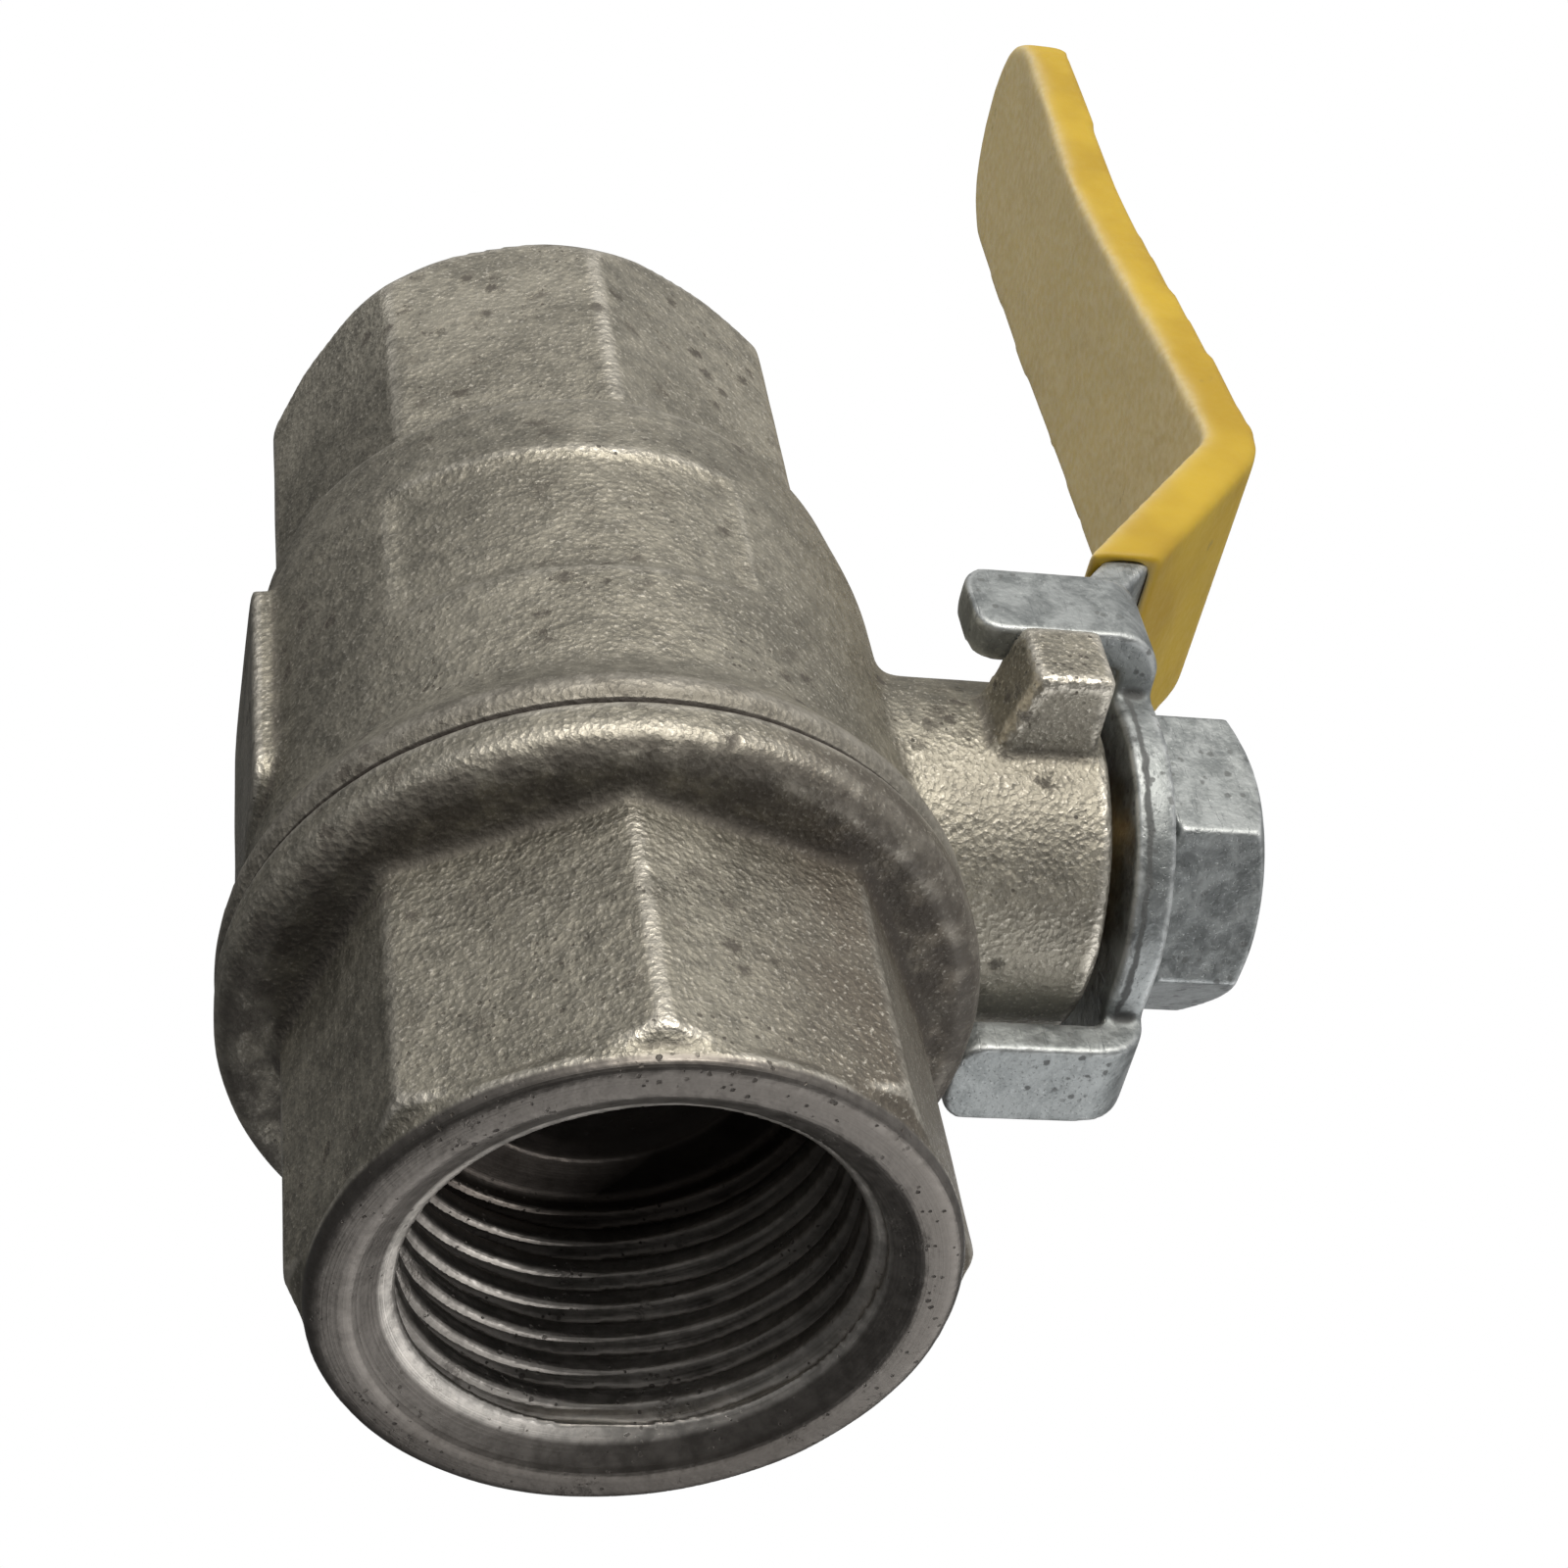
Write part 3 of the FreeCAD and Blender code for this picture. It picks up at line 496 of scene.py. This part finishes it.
def yellow_pvc():
    """Dipped PVC: soft satin yellow, paler underneath with dust and a painted sheen, with small
    dimples and handling marks.
    """
    n = Nodes("yellow_pvc_dipped")
    patches = n.noise(9 * MM, detail=3)
    fine = n.noise(0.5 * MM, detail=3)
    colour = n.mix(n.span(patches, 0.35, 0.65), YELLOW, YELLOW_DEEP)
    # Downward faces made paler and duller: dust, and a painted sheen.
    dust_and_sheen = n.math("MULTIPLY", n.mark("under"), n.span(fine, 0.25, 0.75, 0.65, 1))
    colour = n.mix(dust_and_sheen, colour, DUST_AND_SHEEN)
    scuffs = n.math("MULTIPLY", n.span(n.noise(3 * MM, detail=6, roughness=0.7), 0.62, 0.72),
                    n.span(n.noise(14 * MM), 0.45, 0.6, 0.0, 0.5))
    colour = n.mix(scuffs, colour, SCUFFED)
    rough = n.math("ADD", n.span(fine, 0.3, 0.7, 0.44, 0.56), n.math("MULTIPLY", dust_and_sheen, 0.15))
    waves = n.bump(n.noise(5 * MM, detail=1.5), 0.25 * MM)
    dimples = n.bump(n.noise(0.7 * MM, detail=2), 0.02 * MM, waves)
    n.scatter(0.12, (0.9 * MM, 0.6 * MM, 0.15 * MM))
    return n.finish(colour, 0.0, rough, dimples, specular=0.35)


BRASS = (0.62, 0.45, 0.20, 1)
BRASS_TARNISHED = (0.30, 0.21, 0.10, 1)
CHROME = (0.78, 0.79, 0.80, 1)
CHROME_DULL = (0.62, 0.62, 0.60, 1)
PTFE = (0.86, 0.86, 0.84, 1)
PTFE_MARKED = (0.70, 0.69, 0.65, 1)
FLOOR_GREY = (0.80, 0.80, 0.80, 1)
FLOOR_PALE = (0.84, 0.84, 0.84, 1)


def turned_brass():
    """Bare turned brass of the stem and gland, slightly tarnished."""
    n = Nodes("brass_turned")
    tarnish = n.noise(1.5 * MM, detail=4)
    colour = n.mix(n.span(tarnish, 0.35, 0.7), BRASS, BRASS_TARNISHED)
    rings = n.noise(0.09 * MM, detail=2, spot=n.stretched(0.05, 0.05, 1.0))
    rough = n.span(tarnish, 0.3, 0.7, 0.24, 0.42)
    return n.finish(colour, 1.0, rough, n.bump(rings, 0.008 * MM))


def chromed_ball():
    """Polished chrome with faint hairlines."""
    n = Nodes("chrome_ball_polished")
    film = n.noise(3 * MM, detail=4)
    colour = n.mix(n.span(film, 0.4, 0.7), CHROME, CHROME_DULL)
    hairlines = n.noise(0.06 * MM, detail=2, spot=n.stretched(1.0, 0.04, 1.0))
    rough = n.span(film, 0.3, 0.7, 0.07, 0.16)
    return n.finish(colour, 1.0, rough, n.bump(hairlines, 0.002 * MM))


def white_ptfe():
    """White PTFE of the seats and packing, waxy and faintly marked."""
    n = Nodes("ptfe_white")
    film = n.noise(1.2 * MM, detail=3)
    colour = n.mix(n.span(film, 0.35, 0.7), PTFE, PTFE_MARKED)
    n.scatter(0.15, (0.8 * MM, 0.8 * MM, 0.8 * MM))
    rough = n.span(film, 0.3, 0.7, 0.38, 0.5)
    return n.finish(colour, 0.0, rough, n.bump(n.turning_marks(0.12 * MM), 0.01 * MM))


def pale_floor():
    """Matt pale grey, very faintly clouded."""
    n = Nodes("pale_floor")
    cloud = n.noise(60 * MM, detail=3)
    colour = n.mix(cloud, FLOOR_GREY, FLOOR_PALE)
    return n.finish(colour, 0.0, n.span(cloud, 0, 1, 0.75, 0.85), n.bump(cloud, 0.1 * MM))


def paint(piece, material):
    """Gives the whole piece one material."""
    piece.data.materials.clear()
    piece.data.materials.append(material)


def paint_node(node, material):
    """Gives a CAD node a material through its own slots."""
    shown = frame["nodes"][node]
    for own_slot in shown.material_slots:
        own_slot.material = material


# ---------------------------------------------------------------- pieces

# Grid size in millimetres and rounds of smoothing of each remade piece.
BODY_GRID = (0.28, 3)
CAP_GRID = (0.2, 4)
LEVER_GRID = (0.2, 7)
NUT_GRID = (0.12, 3)
SLEEVE_GRID = (0.25, 14)
EDGE_REACH = 2
THREADS_KEPT = 0.9
SKIN_DEPTH = 0.06 * MM
SKIN_LUMPS = 3.0 * MM
SKIN_FADE = 1.0 * MM
UNDER_GAIN = 1.3


def keep_threads(co):
    """Threads and seats, in millimetres here, are smoothed less than the forged outside."""
    radius = np.hypot(co[:, 0], co[:, 2])
    return np.where(radius < THREADS_KEPT_R / MM, THREADS_KEPT, 0.0)


def make_shell(node, name, body, grid, material):
    """A forged half of the shell with softened edges and a slightly uneven skin."""
    piece = softened(node, name, *grid, keep_threads)
    roughen(piece)
    mark_edges(piece, EDGE_REACH, SKIN_R)
    paint(piece, material)
    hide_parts(node)
    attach(piece, body)


def roughen(piece):
    """Pushes the forged outside in by a slow noise, and leaves the bores true."""
    mesh = piece.data
    co = places(mesh)
    out = normals(mesh)
    radius = np.hypot(co[:, 0], co[:, 2])
    outside = np.clip((radius - SKIN_R) / SKIN_FADE, 0, 1)
    push = np.array([noise.noise(Vector(p) / SKIN_LUMPS) for p in co])
    push = (np.clip(push, -1, 1) - 1) / 2 * SKIN_DEPTH * outside
    place(mesh, co + out * push[:, None])


def make_lever(material):
    """The bent strip with its hub plate and tabs, edges rounded as pressed steel is."""
    piece = softened("lever", "steel_lever", *LEVER_GRID)
    mark_edges(piece, EDGE_REACH)
    paint(piece, material)
    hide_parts("lever")
    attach(piece, "stem_and_lever")


def make_nut(material):
    """The nut, with its edges just broken."""
    piece = softened("lever_nut", "hexagon_nut", *NUT_GRID)
    mark_edges(piece, EDGE_REACH)
    paint(piece, material)
    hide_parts("lever_nut")
    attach(piece, "stem_and_lever")


def make_sleeve(material):
    """The sleeve, well rounded, with its underside marked for the dust and painted sheen."""
    piece = softened("grip_sleeve", "dipped_sleeve", *SLEEVE_GRID)
    mesh = piece.data
    under = np.clip(-normals(mesh)[:, 2] * UNDER_GAIN, 0, 1)
    layer = mesh.attributes.new("under", "FLOAT", "POINT")
    layer.data.foreach_set("value", under.astype(np.float32))
    paint(piece, material)
    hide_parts("grip_sleeve")
    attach(piece, "stem_and_lever")


# ---------------------------------------------------------------- stage

# Camera, angles in degrees.
VIEW_AZIMUTH = -40.03
VIEW_ELEVATION = -12.835
VIEW_ROLL = 93.32
CAMERA_PLACE = (-91.607 * MM, -79.259 * MM, -22.857 * MM)
LENS_MM = 69.8
SENSOR_MM = 36
SHIFT = (0.0085, 0.01175)
NEAR_CLIP = 5 * MM
FAR_CLIP = 10

FLOOR_Z = -45 * MM
FLOOR_RADIUS = 0.36
FLOOR_SIDES = 128

# Suns: where from, strength, spread in degrees.
LAMP_DISTANCE = 0.5
KEY_SUN = ((-0.98, 0.0, 0.12), 2.0, 14)
KEY_COLOUR = (1.0, 0.96, 0.88)
FILL_SUN = ((0.58, -0.68, 0.45), 1.1, 50)
BACK_SUN = ((0.75, 0.62, 0.25), 0.6, 40)
# Spots: where from, watts, radius lit, radius of the lamp.
BORE_SPOT = ((-0.14, -0.90, 0.42), 6.0, 9.0 * MM, 2 * MM)
UNDER_SPOT = ((-0.45, 0.45, -0.77), 3.2, 45 * MM, 10 * MM)
UNDER_TARGET = (0, 75 * MM, 34 * MM)
SPOT_BLEND = 0.35

# Dome of light: brighter one way, dimmed another; reaches are cosines off those ways.
DOME_TOWARDS = (-0.90, 0.0, 0.44)
DOME_REACH = (-0.6, 0.9)
DOME_STRENGTHS = (0.11, 0.84)
DIM_TOWARDS = (-0.25, -0.96, 0.10)
DIM_REACH = (0.55, 0.95)
DIM_SHARES = (1.0, 0.12)


def add_camera():
    """The camera at the photograph's viewing angle."""
    data = bpy.data.cameras.new("camera")
    camera = bpy.data.objects.new("camera", data)
    bpy.context.scene.collection.objects.link(camera)
    azimuth = math.radians(VIEW_AZIMUTH)
    elevation = math.radians(VIEW_ELEVATION)
    back = Vector((math.sin(azimuth) * math.cos(elevation),
                   -math.cos(azimuth) * math.cos(elevation), math.sin(elevation)))
    camera.location = CAMERA_PLACE
    level = (-back).to_track_quat("-Z", "Y")
    camera.rotation_mode = "QUATERNION"
    camera.rotation_quaternion = level @ Quaternion((0, 0, 1), math.radians(VIEW_ROLL))
    data.lens = LENS_MM
    data.sensor_width = SENSOR_MM
    data.shift_x, data.shift_y = SHIFT
    data.clip_start = NEAR_CLIP
    data.clip_end = FAR_CLIP
    bpy.context.scene.camera = camera


def add_sun(name, direction, strength, spread_deg, colour=(1, 1, 1)):
    """Even light from one direction, with soft shadows."""
    data = bpy.data.lights.new(name, "SUN")
    data.energy = strength
    data.angle = math.radians(spread_deg)
    data.color = colour
    lamp = bpy.data.objects.new(name, data)
    bpy.context.scene.collection.objects.link(lamp)
    towards = Vector(direction).normalized()
    lamp.location = Vector((0, STEM_Y, 0)) + towards * LAMP_DISTANCE
    lamp.rotation_mode = "QUATERNION"
    lamp.rotation_quaternion = (-towards).to_track_quat("-Z", "Y")


def add_spot(name, target, direction, power, reach, size):
    """Light on a round patch of this radius, from one direction, with a soft rim."""
    data = bpy.data.lights.new(name, "SPOT")
    data.energy = power
    data.spot_size = 2 * math.atan(reach / LAMP_DISTANCE)
    data.spot_blend = SPOT_BLEND
    data.shadow_soft_size = size
    lamp = bpy.data.objects.new(name, data)
    bpy.context.scene.collection.objects.link(lamp)
    towards = Vector(direction).normalized()
    lamp.location = Vector(target) + towards * LAMP_DISTANCE
    lamp.rotation_mode = "QUATERNION"
    lamp.rotation_quaternion = (-towards).to_track_quat("-Z", "Y")


def add_world():
    """White to the camera; as light, a soft dome, bright on one side and dim behind the camera."""
    world = bpy.data.worlds.new("studio")
    world.use_nodes = True
    tree = world.node_tree
    tree.nodes.clear()
    out = tree.nodes.new("ShaderNodeOutputWorld")
    seen = tree.nodes.new("ShaderNodeBackground")
    seen.inputs["Color"].default_value = (1, 1, 1, 1)
    dome = tree.nodes.new("ShaderNodeBackground")
    spot = tree.nodes.new("ShaderNodeTexCoord").outputs["Generated"]
    glow = dome_ramp(tree, spot, DOME_TOWARDS, DOME_REACH, DOME_STRENGTHS)
    dim = dome_ramp(tree, spot, DIM_TOWARDS, DIM_REACH, DIM_SHARES)
    product = tree.nodes.new("ShaderNodeMath")
    product.operation = "MULTIPLY"
    path = tree.nodes.new("ShaderNodeLightPath")
    mix = tree.nodes.new("ShaderNodeMixShader")
    tree.links.new(glow, product.inputs[0])
    tree.links.new(dim, product.inputs[1])
    tree.links.new(product.outputs[0], dome.inputs["Strength"])
    tree.links.new(path.outputs["Is Camera Ray"], mix.inputs[0])
    tree.links.new(dome.outputs[0], mix.inputs[1])
    tree.links.new(seen.outputs[0], mix.inputs[2])
    tree.links.new(mix.outputs[0], out.inputs["Surface"])
    bpy.context.scene.world = world


def dome_ramp(tree, spot, towards, reach, strengths):
    """Strength that goes from the first to the second value as a direction nears this one."""
    facing = tree.nodes.new("ShaderNodeVectorMath")
    facing.operation = "DOT_PRODUCT"
    facing.inputs[1].default_value = towards
    ramp = tree.nodes.new("ShaderNodeMapRange")
    ramp.interpolation_type = "SMOOTHSTEP"
    ramp.inputs["From Min"].default_value = reach[0]
    ramp.inputs["From Max"].default_value = reach[1]
    ramp.inputs["To Min"].default_value = strengths[0]
    ramp.inputs["To Max"].default_value = strengths[1]
    tree.links.new(spot, facing.inputs[0])
    tree.links.new(facing.outputs["Value"], ramp.inputs["Value"])
    return ramp.outputs["Result"]


def add_floor():
    """A pale disc below the valve, seen by the camera only, so it takes no light from below."""
    mesh = bpy.data.meshes.new("floor")
    shape = bmesh.new()
    bmesh.ops.create_circle(shape, cap_ends=True, segments=FLOOR_SIDES, radius=FLOOR_RADIUS)
    shape.to_mesh(mesh)
    shape.free()
    floor = bpy.data.objects.new("floor", mesh)
    bpy.context.scene.collection.objects.link(floor)
    floor.location = (0, STEM_Y, FLOOR_Z)
    floor.visible_diffuse = False
    floor.visible_glossy = False
    floor.visible_shadow = False
    paint(floor, pale_floor())


def main():
    """Camera, lights and floor first, then the pieces and their materials."""
    add_camera()
    add_world()
    add_sun("key", *KEY_SUN, KEY_COLOUR)
    add_sun("fill", *FILL_SUN)
    add_spot("bore", (0, MOUTH_Y, 0), *BORE_SPOT)
    add_spot("under", UNDER_TARGET, *UNDER_SPOT)
    add_sun("back", *BACK_SUN)
    add_floor()
    forged = forged_metal()
    zinc = zinc_steel()
    brass = turned_brass()
    ptfe = white_ptfe()
    make_shell("valve_body", "forged_body", "shell", BODY_GRID, forged)
    make_shell("end_cap", "forged_cap", "shell", CAP_GRID, forged)
    make_lever(zinc)
    make_nut(zinc)
    make_sleeve(yellow_pvc())
    paint_node("ball", chromed_ball())
    for node in ("stem", "packing_gland"):
        paint_node(node, brass)
    for node in ("seat_inlet", "seat_outlet", "joint_seal", "thrust_washer",
                 "packing_ring_1", "packing_ring_2"):
        paint_node(node, ptfe)
    bpy.context.scene.view_settings.view_transform = "Standard"


main()
